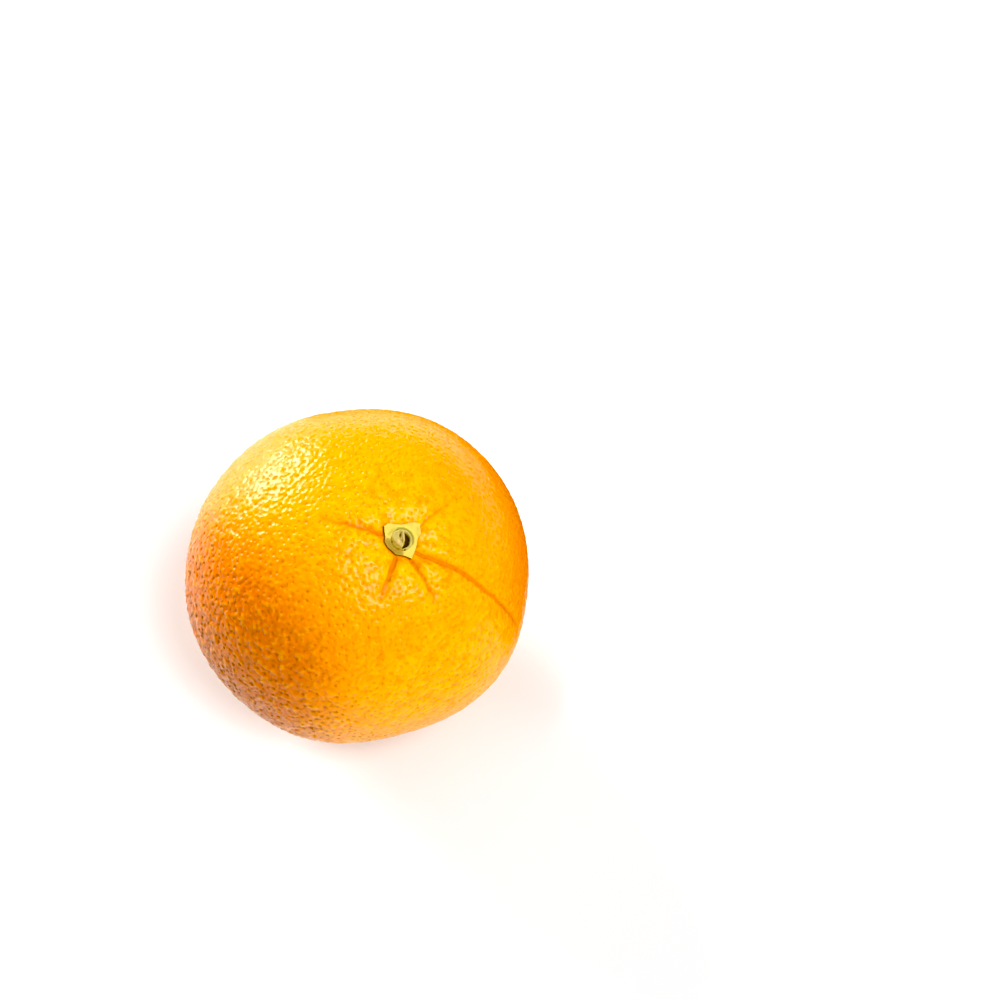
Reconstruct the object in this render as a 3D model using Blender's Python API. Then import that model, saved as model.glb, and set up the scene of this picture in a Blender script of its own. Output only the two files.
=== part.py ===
"""A navel orange as picked: the whole fruit, the calyx on its stem end and the stub of its stem.

Blender 4.5, in metres, +Z up. The fruit lies on a table at z = 0, on a small flat spot, and the
origin is on the table under the middle of the fruit. Its own axis runs from the navel, underneath,
to the stem end, which leans to the front and to the right.

The skin is one formula: a distance from the fruit's middle for each direction. Directions are given
as a polar angle from the stem end and an azimuth round the axis, and a place near either end as its
distance along the skin from that end.
"""

import math

import bmesh
import bpy
from mathutils import Euler, Vector, noise

MM = 0.001

# The whole fruit
FRUIT_WIDTH = 80.0 * MM
FRUIT_HEIGHT = 77.0 * MM
LEAN_FORWARD = math.radians(14.5)
LEAN_RIGHT = math.radians(18.8)
REST_SPOT_RADIUS = 7.0 * MM
# Swellings round the waist: how many there are, their share of the radius, the azimuth of one
BULGES = (
    (2, 0.0187, 28.0),
    (3, 0.0049, 81.0),
    (4, 0.0086, 61.0),
    (5, 0.0046, 47.0),
    (6, 0.0045, 21.0),
    (7, 0.0026, 18.0),
)
# Uneven swellings: their height and how closely they follow each other
LUMP_HEIGHT = 0.22 * MM
LUMPS_PER_RADIUS = 2.6
STEM_LUMP_HEIGHT = 0.28 * MM
STEM_LUMPS_PER_RADIUS = 9.0
STEM_LUMP_REACH = 19.0 * MM

# The hollow at the stem end, with the flat seat that the calyx grows on
HOLLOW_DEPTH = 2.3 * MM
HOLLOW_RADIUS = 8.0 * MM
SEAT_RADIUS = 3.6 * MM
SEAT_BLEND = 1.4 * MM
# Creases that run out of the hollow: azimuth at the stem and further out, length, depth
CREASES = (
    (168.0, 172.0, 20.0 * MM, 0.80 * MM),
    (262.0, 257.0, 16.0 * MM, 0.95 * MM),
    (302.0, 309.0, 19.0 * MM, 0.65 * MM),
    (325.0, 343.0, 48.0 * MM, 0.85 * MM),
    (45.0, 46.0, 21.0 * MM, 0.60 * MM),
    (93.0, 97.0, 11.0 * MM, 0.35 * MM),
    (205.0, 209.0, 10.0 * MM, 0.35 * MM),
    (8.0, 12.0, 9.0 * MM, 0.30 * MM),
    (128.0, 124.0, 10.0 * MM, 0.30 * MM),
)
CREASE_BEND = 8.0 * MM
CREASE_WIDTH = 0.8 * MM
CREASE_WIDENING = 0.05
CREASE_LIP = 0.15

# The navel: a small second fruit that shows in an opening at the blossom end
NAVEL_RADIUS = 6.8 * MM
NAVEL_WAVES = ((2, 0.09, 35.0), (3, 0.05, 100.0))
NAVEL_LIP_HEIGHT = 0.35 * MM
NAVEL_LIP_AT = 1.22
NAVEL_LIP_WIDTH = 0.20
NAVEL_CREVICE_DEPTH = 2.0 * MM
NAVEL_CREVICE_WIDTH = 0.085
NAVEL_SUNK = 0.9 * MM
NAVEL_DOME_HEIGHT = 1.1 * MM
# Clefts between the second fruit's lobes: azimuth, how far out they start and end, depth
NAVEL_CLEFTS = (
    (20.0, 0.0, 1.0, 1.2 * MM),
    (205.0, 0.0, 1.0, 1.0 * MM),
    (118.0, 0.0, 0.8, 0.7 * MM),
)
NAVEL_CLEFT_WIDTH = 0.55 * MM
NAVEL_SCAR_RADIUS = 0.9 * MM
NAVEL_SCAR_DEPTH = 0.9 * MM

# The calyx: a plate with uneven corners, round the stub of the stem
CALYX_GAP = 0.3 * MM
CALYX_DISC_RADIUS = 3.5 * MM
CALYX_THICKNESS = 1.25 * MM
CALYX_EDGE_THICKNESS = 0.65 * MM
# Corners of the star, which straight edges join: azimuth and distance from the middle
CALYX_CORNERS = (
    (14.0, 3.75 * MM),
    (26.0, 4.60 * MM),
    (50.0, 5.75 * MM),
    (68.0, 4.55 * MM),
    (96.0, 3.50 * MM),
    (136.0, 4.65 * MM),
    (152.0, 4.95 * MM),
    (174.0, 3.70 * MM),
    (194.0, 3.85 * MM),
    (214.0, 3.55 * MM),
    (255.0, 3.50 * MM),
    (290.0, 3.60 * MM),
    (305.0, 4.70 * MM),
    (325.0, 3.90 * MM),
    (350.0, 3.60 * MM),
)
SEPAL_CURL = 0.35 * MM

# The stub: a short woody ring with a hollow, and the torn core standing in it
STUB_RADIUS = 2.65 * MM
STUB_HEIGHT = 1.75 * MM
STUB_RIM_WIDTH = 0.5 * MM
STUB_HOLLOW_DEPTH = 1.0 * MM
STUB_CORE_RADIUS = 0.85 * MM
STUB_CORE_OFFSET = 0.45 * MM
STUB_CORE_AZIMUTH = 175.0
STUB_CORE_HEIGHT = 0.95 * MM

# How finely the solids are drawn
FRUIT_SEGMENTS = 80
CALYX_SEGMENTS = 72
STUB_SEGMENTS = 36
FINE_STEP = 0.75 * MM
COARSE_STEP = 4.0 * MM
STEM_FINE_REACH = 10.0 * MM
NAVEL_FINE_STEP = 0.5 * MM
NAVEL_FINE_REACH = 9.5 * MM
STEP_GROWTH = 0.24


# Small helpers


def smooth(low, high, value):
    """0 below low, 1 above high, and an even ramp between them."""
    share = min(1.0, max(0.0, (value - low) / (high - low)))
    return share * share * (3.0 - 2.0 * share)


def bell(distance, width):
    """1 at distance 0, falling away over width."""
    return math.exp(-((distance / width) ** 2))


def turned_from(azimuth, degrees):
    """The angle from a direction in degrees to an azimuth in radians, between -pi and pi."""
    return math.remainder(azimuth - math.radians(degrees), 2.0 * math.pi)


def waves(azimuth, table):
    """Sum of cosine waves, each given as its number, its size and the azimuth of one crest."""
    return sum(size * math.cos(count * turned_from(azimuth, at)) for count, size, at in table)


# The skin of the fruit


def spheroid(polar):
    """Distance from the middle to a plain spheroid of the fruit's width and height."""
    across = math.sin(polar) / (FRUIT_WIDTH / 2.0)
    along = math.cos(polar) / (FRUIT_HEIGHT / 2.0)
    return 1.0 / math.hypot(across, along)


def lump_relief(polar, azimuth, from_stem):
    """Uneven swellings: slow ones all over the skin, and closer ones round the stem end."""
    across = math.sin(polar)
    where = Vector((across * math.cos(azimuth), across * math.sin(azimuth), math.cos(polar)))
    slow = LUMP_HEIGHT * noise.noise(where * LUMPS_PER_RADIUS)
    close = STEM_LUMP_HEIGHT * noise.noise(where * STEM_LUMPS_PER_RADIUS)
    return slow + close * (1.0 - smooth(0.5 * STEM_LUMP_REACH, 1.4 * STEM_LUMP_REACH, from_stem))


def crease_relief(distance, azimuth):
    """The creases that run out of the hollow, each a groove between two low lips."""
    total = 0.0
    for near, far, length, depth in CREASES:
        along = distance / length
        if along >= 1.0:
            continue
        aside = turned_from(azimuth, far + (near - far) * bell(distance, CREASE_BEND))
        if abs(aside) > math.pi / 2.0:
            continue
        width = CREASE_WIDTH + CREASE_WIDENING * distance
        offset = abs(distance * math.sin(aside))
        groove = bell(offset, width) - CREASE_LIP * bell(offset - 2.1 * width, width)
        total -= depth * groove * (1.0 - along) ** 0.7
    return total * smooth(SEAT_RADIUS * 0.8, SEAT_RADIUS + SEAT_BLEND, distance)


def hollow_relief(distance):
    """The hollow that the calyx sits in."""
    return -HOLLOW_DEPTH * bell(distance, HOLLOW_RADIUS)


def navel_edge(azimuth):
    """Radius of the navel's opening, which isn't quite round."""
    return NAVEL_RADIUS * (1.0 + waves(azimuth, NAVEL_WAVES))


def navel_relief(distance, azimuth):
    """The navel: a lip, a crevice inside it, and the lobes of the second fruit in the middle."""
    out = distance / navel_edge(azimuth)
    if out > 2.5:
        return 0.0
    lip = NAVEL_LIP_HEIGHT * bell(out - NAVEL_LIP_AT, NAVEL_LIP_WIDTH)
    crevice = -NAVEL_CREVICE_DEPTH * bell(out - 1.0, NAVEL_CREVICE_WIDTH)
    inside = 1.0 - smooth(0.92, 1.06, out)
    dome = NAVEL_DOME_HEIGHT * math.sqrt(max(0.0, 1.0 - out * out)) - NAVEL_SUNK
    clefts = 0.0
    for at, start, end, depth in NAVEL_CLEFTS:
        aside = turned_from(azimuth, at)
        if abs(aside) < math.pi / 2.0:
            reach = smooth(start - 0.05, start + 0.1, out) * (1.0 - smooth(end - 0.25, end, out))
            clefts -= depth * reach * bell(distance * math.sin(aside), NAVEL_CLEFT_WIDTH)
    scar = -NAVEL_SCAR_DEPTH * bell(distance, NAVEL_SCAR_RADIUS)
    return lip + crevice + inside * (dome + clefts + scar)


def seat_height():
    """Height of the calyx's flat seat above the fruit's middle."""
    return FRUIT_HEIGHT / 2.0 - HOLLOW_DEPTH


def skin_distance(polar, azimuth):
    """Distance from the fruit's middle to its skin in one direction."""
    waist = math.sin(polar) ** 2
    distance = spheroid(polar) * (1.0 + waist * waves(azimuth, BULGES))
    from_stem = polar * FRUIT_WIDTH / 2.0
    from_navel = (math.pi - polar) * FRUIT_WIDTH / 2.0
    calm = smooth(SEAT_RADIUS, SEAT_RADIUS + 3.0 * SEAT_BLEND, from_stem)
    distance += calm * lump_relief(polar, azimuth, from_stem)
    distance += hollow_relief(from_stem) + crease_relief(from_stem, azimuth)
    distance += navel_relief(from_navel, azimuth)
    if from_stem < SEAT_RADIUS + SEAT_BLEND:
        flat = seat_height() / math.cos(polar)
        keep = smooth(SEAT_RADIUS, SEAT_RADIUS + SEAT_BLEND, from_stem)
        distance = flat + keep * (distance - flat)
    return distance


def skin_point(polar, azimuth):
    """Point of the skin in the fruit's own frame."""
    reach = skin_distance(polar, azimuth)
    across = reach * math.sin(polar)
    return Vector((across * math.cos(azimuth), across * math.sin(azimuth), reach * math.cos(polar)))


# Meshes


def distances_from_end(fine_step, fine_reach, last):
    """Distances along the skin from one end of the fruit, close together at first."""
    found = [fine_step]
    while found[-1] < last:
        beyond = max(0.0, found[-1] - fine_reach)
        found.append(found[-1] + min(COARSE_STEP, fine_step + STEP_GROWTH * beyond))
    stretch = last / found[-1]
    return [distance * (1.0 + (stretch - 1.0) * smooth(fine_reach, last, distance)) for distance in found]


def circle(count):
    """Azimuths of evenly spaced points round the axis."""
    return [2.0 * math.pi * index / count for index in range(count)]


def bridge(mesh, upper, lower):
    """Quads from one ring of vertices down to the next."""
    for here in range(len(upper)):
        there = (here + 1) % len(upper)
        mesh.faces.new((upper[here], lower[here], lower[there], upper[there]))


def fan(mesh, ring, tip, upward):
    """Triangles from a ring to one vertex at its middle."""
    for here in range(len(ring)):
        there = (here + 1) % len(ring)
        mesh.faces.new((tip, ring[here], ring[there]) if upward else (tip, ring[there], ring[here]))


def rings_of(mesh, loops):
    """Vertices for each loop of points."""
    return [[mesh.verts.new(point) for point in loop] for loop in loops]


def capped_body(top, loops, bottom):
    """Closed mesh from a top point through rings to a bottom point."""
    mesh = bmesh.new()
    rings = rings_of(mesh, loops)
    fan(mesh, rings[0], mesh.verts.new(top), upward=True)
    for upper, lower in zip(rings, rings[1:]):
        bridge(mesh, upper, lower)
    fan(mesh, rings[-1], mesh.verts.new(bottom), upward=False)
    return mesh


def ring_body(loops):
    """Closed mesh with a hole down its middle: the last ring joins the first."""
    mesh = bmesh.new()
    rings = rings_of(mesh, loops)
    for upper, lower in zip(rings, rings[1:] + rings[:1]):
        bridge(mesh, upper, lower)
    return mesh


def fruit_mesh():
    """The whole fruit, before its resting spot is cut."""
    radius = FRUIT_WIDTH / 2.0
    waist = math.pi / 2.0 * radius
    loops = []
    for distance in distances_from_end(FINE_STEP, STEM_FINE_REACH, waist):
        loops.append([skin_point(distance / radius, azimuth) for azimuth in circle(FRUIT_SEGMENTS)])
    for distance in reversed(distances_from_end(NAVEL_FINE_STEP, NAVEL_FINE_REACH, waist)[:-1]):
        follow = 1.0 - smooth(1.6 * NAVEL_RADIUS, 3.0 * NAVEL_RADIUS, distance)
        loop = []
        for azimuth in circle(FRUIT_SEGMENTS):
            bent = distance * (1.0 + follow * waves(azimuth, NAVEL_WAVES))
            loop.append(skin_point(math.pi - bent / radius, azimuth))
        loops.append(loop)
    return capped_body(skin_point(0.0, 0.0), loops, skin_point(math.pi, 0.0))


def calyx_edge(azimuth):
    """Distance from the calyx's middle to the straight edges that join its corners."""
    for (at, near), (to, far) in zip(CALYX_CORNERS, CALYX_CORNERS[1:] + CALYX_CORNERS[:1]):
        span = math.radians((to - at) % 360.0)
        past = (azimuth - math.radians(at)) % (2.0 * math.pi)
        if past <= span:
            return near * far * math.sin(span) / (near * math.sin(past) + far * math.sin(span - past))
    return CALYX_DISC_RADIUS


def hollow_rise(across):
    """How far the hollow's skin has risen above the seat at a distance from the axis."""
    polar = across / seat_height()
    height = (spheroid(polar) + hollow_relief(across)) * math.cos(polar)
    return max(0.0, height - seat_height())


def calyx_mesh():
    """The disc and its sepals, which follow the hollow and curl up a little at their tips."""
    hole = STUB_RADIUS + CALYX_GAP
    under, over = [], []
    for share in (0.0, 0.2, 0.4, 0.6, 0.8, 0.93, 1.0):
        low, high = [], []
        for azimuth in circle(CALYX_SEGMENTS):
            edge = calyx_edge(azimuth)
            across = hole + share * (edge - hole)
            tip = smooth(CALYX_DISC_RADIUS, CALYX_DISC_RADIUS + 2.0 * MM, across)
            floor = hollow_rise(across) + SEPAL_CURL * tip
            thick = CALYX_THICKNESS + share * (CALYX_EDGE_THICKNESS - CALYX_THICKNESS)
            rounding = 0.2 * MM * (share == 1.0)
            x, y = across * math.cos(azimuth), across * math.sin(azimuth)
            low.append(Vector((x, y, floor + rounding)))
            high.append(Vector((x, y, floor + thick - rounding)))
        under.append(low)
        over.append(high)
    return ring_body(over + under[::-1])


def stub_top(across, azimuth):
    """Height of the stub's top: a rim, a hollow inside it, and the torn core to one side."""
    rim = STUB_RADIUS - STUB_RIM_WIDTH
    height = STUB_HEIGHT - STUB_HOLLOW_DEPTH * (1.0 - smooth(0.6 * rim, rim, across))
    at = math.radians(STUB_CORE_AZIMUTH)
    aside = math.hypot(
        across * math.cos(azimuth) - STUB_CORE_OFFSET * math.cos(at),
        across * math.sin(azimuth) - STUB_CORE_OFFSET * math.sin(at),
    )
    return height + STUB_CORE_HEIGHT * bell(aside, STUB_CORE_RADIUS)


def stub_mesh():
    """The stub of the stem, standing in the calyx."""

    def loop(across, height_of):
        return [
            Vector((across * math.cos(azimuth), across * math.sin(azimuth), height_of(azimuth)))
            for azimuth in circle(STUB_SEGMENTS)
        ]

    shares = (0.15, 0.3, 0.45, 0.58, 0.68, 0.78, 0.88, 0.96)
    loops = [loop(share * STUB_RADIUS, lambda a, r=share * STUB_RADIUS: stub_top(r, a)) for share in shares]
    shoulder = STUB_HEIGHT - 0.15 * MM
    loops.append(loop(STUB_RADIUS, lambda azimuth: shoulder))
    loops.append(loop(STUB_RADIUS, lambda azimuth: 0.0))
    return capped_body(Vector((0.0, 0.0, stub_top(0.0, 0.0))), loops, Vector((0.0, 0.0, 0.0)))


def cut_rest_spot(mesh, turn):
    """Cuts a small flat spot where the leaning fruit is lowest, and returns its height."""
    lowest = min((turn @ vertex.co).z for vertex in mesh.verts)
    level = lowest + REST_SPOT_RADIUS**2 / FRUIT_WIDTH
    down = turn.inverted() @ Vector((0.0, 0.0, -1.0))
    cut = bmesh.ops.bisect_plane(
        mesh,
        geom=mesh.verts[:] + mesh.edges[:] + mesh.faces[:],
        dist=1e-7,
        plane_co=down * -level,
        plane_no=down,
        clear_outer=True,
    )
    edges = [item for item in cut["geom_cut"] if isinstance(item, bmesh.types.BMEdge)]
    bmesh.ops.edgeloop_fill(mesh, edges=edges)
    return level


# Objects


def clear_scene():
    for obj in list(bpy.data.objects):
        bpy.data.objects.remove(obj, do_unlink=True)


def material(name, colour, roughness):
    made = bpy.data.materials.new(name)
    made.use_nodes = True
    shader = made.node_tree.nodes["Principled BSDF"]
    shader.inputs["Base Color"].default_value = (*colour, 1.0)
    shader.inputs["Roughness"].default_value = roughness
    shader.inputs["Metallic"].default_value = 0.0
    return made


def add_part(name, mesh, finish, parent, height=0.0):
    """Makes an object from a bmesh, on the fruit's axis at a height above its middle."""
    bmesh.ops.recalc_face_normals(mesh, faces=mesh.faces)
    data = bpy.data.meshes.new(name)
    mesh.to_mesh(data)
    mesh.free()
    data.materials.append(finish)
    data.shade_smooth()
    data.set_sharp_from_angle(angle=math.radians(50.0))
    obj = bpy.data.objects.new(name, data)
    bpy.context.scene.collection.objects.link(obj)
    obj.parent = parent
    obj.location = (0.0, 0.0, height)
    return obj


def main():
    clear_scene()
    axis = bpy.data.objects.new("fruit_axis", None)
    bpy.context.scene.collection.objects.link(axis)
    axis.rotation_euler = (LEAN_FORWARD, LEAN_RIGHT, 0.0)
    turn = Euler(axis.rotation_euler).to_matrix()

    skin = fruit_mesh()
    level = cut_rest_spot(skin, turn)
    corners = [turn @ vertex.co for vertex in skin.verts]
    middle_x = (min(c.x for c in corners) + max(c.x for c in corners)) / 2.0
    middle_y = (min(c.y for c in corners) + max(c.y for c in corners)) / 2.0
    axis.location = (-middle_x, -middle_y, -level)

    peel = material("peel", (0.90, 0.32, 0.02), 0.35)
    sepal = material("sepal", (0.72, 0.66, 0.22), 0.65)
    wood = material("stub_wood", (0.42, 0.33, 0.16), 0.80)
    seat = seat_height() + CALYX_GAP
    add_part("fruit", skin, peel, axis)
    add_part("calyx", calyx_mesh(), sepal, axis, seat)
    add_part("stem_stub", stub_mesh(), wood, axis, seat)


main()
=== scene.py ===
"""Looks of a navel orange: dimpled peel, navel, calyx and stem stub, on a pale studio floor."""

import math

import bpy
import numpy as np
from bpy.props import FloatProperty, FloatVectorProperty, PointerProperty
from mathutils import Euler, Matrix, Vector, kdtree, noise


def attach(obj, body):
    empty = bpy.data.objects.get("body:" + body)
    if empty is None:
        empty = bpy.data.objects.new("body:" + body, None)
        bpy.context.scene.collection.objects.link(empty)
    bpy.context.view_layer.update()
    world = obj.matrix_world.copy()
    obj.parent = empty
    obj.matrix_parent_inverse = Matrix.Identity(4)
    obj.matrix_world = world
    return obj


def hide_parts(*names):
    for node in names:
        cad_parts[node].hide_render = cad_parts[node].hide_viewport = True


bl_info = {
    "name": "Navel orange",
    "version": (1, 0, 0),
    "blender": (4, 5, 0),
    "location": "3D View > Sidebar > Orange",
    "description": "Builds the fine surface of a navel orange around its solid model",
    "category": "Add Mesh",
}

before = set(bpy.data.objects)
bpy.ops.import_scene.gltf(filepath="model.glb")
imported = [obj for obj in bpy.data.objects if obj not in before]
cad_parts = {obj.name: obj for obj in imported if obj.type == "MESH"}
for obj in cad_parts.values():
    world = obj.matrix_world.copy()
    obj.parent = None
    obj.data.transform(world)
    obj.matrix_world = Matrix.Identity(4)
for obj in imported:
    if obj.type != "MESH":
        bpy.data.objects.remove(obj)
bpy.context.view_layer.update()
MM = 0.001

# Shape of the fruit, as its solid model has it. Angles round the axis are in degrees

# Swellings round the waist: how many there are, their share of the radius, the azimuth of one
BULGES = (
    (2, 0.0187, 28.0),
    (3, 0.0049, 81.0),
    (4, 0.0086, 61.0),
    (5, 0.0046, 47.0),
    (6, 0.0045, 21.0),
    (7, 0.0026, 18.0),
)
# Uneven swellings: their height, how closely they follow each other, and how far from the stem
SLOW_LUMPS = (0.22 * MM, 2.6)
STEM_LUMPS = (0.28 * MM, 9.0)
STEM_LUMP_REACH = 19.0 * MM
SEAT_RADIUS = 3.6 * MM
SEAT_BLEND = 1.4 * MM
# Creases that run out of the hollow: azimuth at the stem and further out, length, depth,
# and how clear the thin line along the bottom is
CREASES = (
    (168.0, 172.0, 20.0 * MM, 0.80 * MM, 0.80),
    (262.0, 257.0, 16.0 * MM, 0.95 * MM, 1.00),
    (302.0, 309.0, 19.0 * MM, 0.65 * MM, 0.75),
    (325.0, 343.0, 48.0 * MM, 0.85 * MM, 0.95),
    (45.0, 46.0, 21.0 * MM, 0.60 * MM, 0.45),
    (93.0, 97.0, 11.0 * MM, 0.35 * MM, 0.10),
    (205.0, 209.0, 10.0 * MM, 0.35 * MM, 0.12),
    (8.0, 12.0, 9.0 * MM, 0.30 * MM, 0.12),
    (128.0, 124.0, 10.0 * MM, 0.30 * MM, 0.10),
)
CREASE_BEND = 8.0 * MM
CREASE_WIDTH = 0.8 * MM
CREASE_WIDENING = 0.05
CREASE_LIP = 0.15
# The thin line at the bottom of each crease, finer than the solid model has it
CREASE_LINE_WIDTH = 0.36 * MM
CREASE_LINE_DEPTH = 0.22 * MM
CREASE_WANDER = 0.40 * MM
# How far the painted shade of the hollow (a deeper orange), and the painted shadow line
# in it, reach from the calyx into the peel
CALYX_SHADE_WIDTH = 0.9 * MM
CALYX_SHADOW_LINE_WIDTH = 0.48 * MM
# The navel, which is a small second fruit in an opening of the peel
NAVEL_RADIUS = 6.8 * MM
NAVEL_WAVES = ((2, 0.09, 35.0), (3, 0.05, 100.0))
NAVEL_LIP_HEIGHT = 0.35 * MM
NAVEL_LIP_AT = 1.22
NAVEL_LIP_WIDTH = 0.20
NAVEL_WELL_DEPTH = 3.4 * MM
NAVEL_SUNK = 0.9 * MM
NAVEL_DOME_HEIGHT = 1.1 * MM
NAVEL_LOBE_SIZE = 5.2 * MM
NAVEL_CLEFT_DEPTH = 1.5 * MM
# Height and size of its fine grain
NAVEL_GRAIN = (0.12 * MM, 0.9 * MM)
# Corners of the calyx, which straight edges join: azimuth and distance from the middle
CALYX_CORNERS = (
    (14.0, 3.75 * MM),
    (26.0, 4.60 * MM),
    (50.0, 5.75 * MM),
    (68.0, 4.55 * MM),
    (96.0, 3.50 * MM),
    (136.0, 4.65 * MM),
    (152.0, 4.95 * MM),
    (174.0, 3.70 * MM),
    (194.0, 3.85 * MM),
    (214.0, 3.55 * MM),
    (255.0, 3.50 * MM),
    (290.0, 3.60 * MM),
    (305.0, 4.70 * MM),
    (325.0, 3.90 * MM),
    (350.0, 3.60 * MM),
)
CALYX_DISC_RADIUS = 3.5 * MM
# Height and size of the calyx's bumps
CALYX_BUMPS = (0.12 * MM, 1.1 * MM)
STUB_RADIUS = 2.65 * MM
# Height of the stub's rim above the seat, and how much it varies, in millimetres
STUB_RIM = (1.45, 0.25)
# The side of the calyx and of the stub that is green-brown, partly their own green and partly
# painted shade round the stub, and the side where they are browner
SHADED_GREEN_SIDE = (0.5, 0.87)
BROWN_SIDE = (-0.62, -0.78)

# Height and size of the low swellings between the dimples
PEBBLES = (0.15 * MM, 0.92 * MM)
SWELLS = (0.10 * MM, 2.1 * MM)

# Directions from the fruit's middle to where the peel is yellowest, partly its own paler tone
# and partly painted sheen; where the painted light and shade of its relief are faintest; where
# its orange is deepest, partly its own tone and partly painted shade; and where its dimples are
# darkest, partly the glands' own colour and partly painted shade in the dimples
YELLOW_AND_SHEEN_SIDE = np.array((0.55, -0.82, -0.15))
CALM_SIDE = np.array((0.35, 0.65, 0.68))
DEEP_AND_SHADED_SIDE = np.array((-0.75, -0.63, 0.20))
SHADED_DIMPLE_SIDE = np.array((-0.78, -0.45, -0.44))

# How finely the peel is drawn
PEEL_CELLS = 176
PEEL_CROWDING = 0.28
PIT_SEED = 11
# How far from the stem the dimples fade
PIT_FADE = 5.0 * MM
BAKE_MAP = "OFBake"

# The stage. The lamps are a little warmer than white
FLOOR_SIZE = 6.0
BACKDROP_RADIUS = 2.8
BACKDROP_HEIGHTS = (-0.1, 4.0)
CARD_RADIUS = 54.0 * MM
CARD_HEIGHTS = (6.0 * MM, 50.0 * MM)
CARD_SPAN = (-22.0, 108.0)
WORLD_STRENGTH = 0.12
LAMP_COLOUR = (1.0, 0.975, 0.84)
BACK_LIGHT_FROM = (-0.62, 0.70, 0.35)
FRONT_LIGHT_FROM = (0.43, -0.32, 0.84)
TOP_LIGHT_FROM = (0.23, 0.40, 0.89)
RIGHT_LIGHT_FROM = (0.85, -0.48, 0.22)
# Share of red, green and blue that the picture takes as black
BLACK_LEVEL = (0.0, 0.01, 0.04)
CAMERA_PLACE = (0.03338, -0.22031, 0.45527)
CAMERA_TILT = math.radians(30.0)


def colour_property(name, description, default):
    """A colour that the panel shows."""
    return FloatVectorProperty(name=name, description=description, subtype="COLOR", default=default)


class OrangeForm(bpy.types.PropertyGroup):
    """Main sizes of the fruit, which follow its solid model."""

    width: FloatProperty(
        name="Width", description="Across the fruit's waist", default=80.0 * MM, unit="LENGTH"
    )
    height: FloatProperty(
        name="Height", description="From the navel to the stem end", default=77.0 * MM, unit="LENGTH"
    )
    lean_forward: FloatProperty(
        name="Lean forward",
        description="Tilt of the stem end towards the front",
        default=math.radians(14.5),
        subtype="ANGLE",
    )
    lean_right: FloatProperty(
        name="Lean right",
        description="Tilt of the stem end to the right",
        default=math.radians(18.8),
        subtype="ANGLE",
    )
    rest_radius: FloatProperty(
        name="Resting spot",
        description="Radius of the flat spot that the fruit lies on",
        default=7.0 * MM,
        unit="LENGTH",
    )
    hollow_depth: FloatProperty(
        name="Hollow depth",
        description="How deep the stem end dips",
        default=2.3 * MM,
        unit="LENGTH",
    )
    hollow_radius: FloatProperty(
        name="Hollow radius",
        description="How wide the stem end dips",
        default=8.0 * MM,
        unit="LENGTH",
    )


class OrangePeel(bpy.types.PropertyGroup):
    """Dimples and colours of the peel."""

    pit_spacing: FloatProperty(
        name="Dimple spacing",
        description="Least distance between two dimples",
        default=1.20 * MM,
        unit="LENGTH",
    )
    pit_depth: FloatProperty(
        name="Dimple depth", description="Depth of a usual dimple", default=0.15 * MM, unit="LENGTH"
    )
    pit_width: FloatProperty(
        name="Dimple width",
        description="Half the width of a usual dimple",
        default=0.44 * MM,
        unit="LENGTH",
    )
    bright: colour_property("Bright side", "Peel colour where it is yellowest", (0.90, 0.275, 0.001))
    # The deep side's colour is partly the peel's own deeper orange and partly painted shade
    deep: colour_property("Deep side", "Peel colour where it is deepest", (0.60, 0.130, 0.001))
    # The dimple colour is partly the glands' own colour and partly painted shade; it also paints the
    # shade between pebbles and the shadow line round the calyx
    gland_and_shade: colour_property("Dimple colour", "Colour at the bottom of a dimple", (0.38, 0.095, 0.002))
    # The lump colour also paints sheen on one side and light on the pebbles' crests
    lump_and_sheen: colour_property("Lump colour", "Yellower tone round the stem end", (0.88, 0.430, 0.003))
    # The crease colour also paints shade along the grooves and round the calyx
    crease: colour_property("Crease colour", "Thin lines round the stem end", (0.58, 0.145, 0.001))
    roughness: FloatProperty(
        name="Roughness",
        description="Roughness of the waxy peel",
        default=0.22,
        min=0.0,
        max=1.0,
        subtype="FACTOR",
    )


class OrangeStem(bpy.types.PropertyGroup):
    """Colours of the calyx and of the stem stub."""

    sepal: colour_property("Sepals", "Colour of the sepals", (0.70, 0.56, 0.115))
    # Partly the sepals' own green and partly painted shade round the stub
    sepal_shade: colour_property("Sepal shade", "Green-brown tone near the stub", (0.34, 0.30, 0.05))
    wood: colour_property("Stub", "Colour of the dry stub", (0.55, 0.44, 0.15))
    # Painted shade deep in the stub's hollow, slot and pits
    stub_hollow_shade: colour_property("Stub hollow", "Colour deep in the stub", (0.040, 0.020, 0.003))
    core: colour_property("Torn core", "Colour of the torn fibres", (0.68, 0.46, 0.22))
    # Partly the stub's own bark and partly painted shade round its rim on one side
    bark_and_shade: colour_property("Bark", "Green-brown round the stub", (0.20, 0.17, 0.030))
    dry: colour_property("Dry side", "Brown tone of the calyx where it is worn", (0.38, 0.25, 0.05))
    wall: colour_property("Calyx wall", "Dried edge of the calyx", (0.17, 0.055, 0.004))


class OrangeStage(bpy.types.PropertyGroup):
    """Floor, lights and camera."""

    floor: colour_property("Floor", "Floor colour", (0.76, 0.78, 0.90))
    card: colour_property("Card", "Colour of the card on the right", (0.30, 0.07, 0.003))
    key_strength: FloatProperty(
        name="Key light", description="Strength of the light from behind on the left", default=5.9
    )
    front_strength: FloatProperty(
        name="Front light", description="Strength of the high light in front", default=3.7
    )
    fill_strength: FloatProperty(
        name="Fill lights", description="Strength of the lights that only fill the shade", default=0.45
    )
    lens: FloatProperty(name="Lens", description="Focal length in millimetres", default=72.0)


# Small helpers


def smooth(low, high, value):
    """0 below low, 1 above high, and an even ramp between them."""
    share = np.clip((value - low) / (high - low), 0.0, 1.0)
    return share * share * (3.0 - 2.0 * share)


def bell(distance, width):
    """1 at distance 0, falling away over width."""
    return np.exp(-((distance / width) ** 2))


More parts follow.
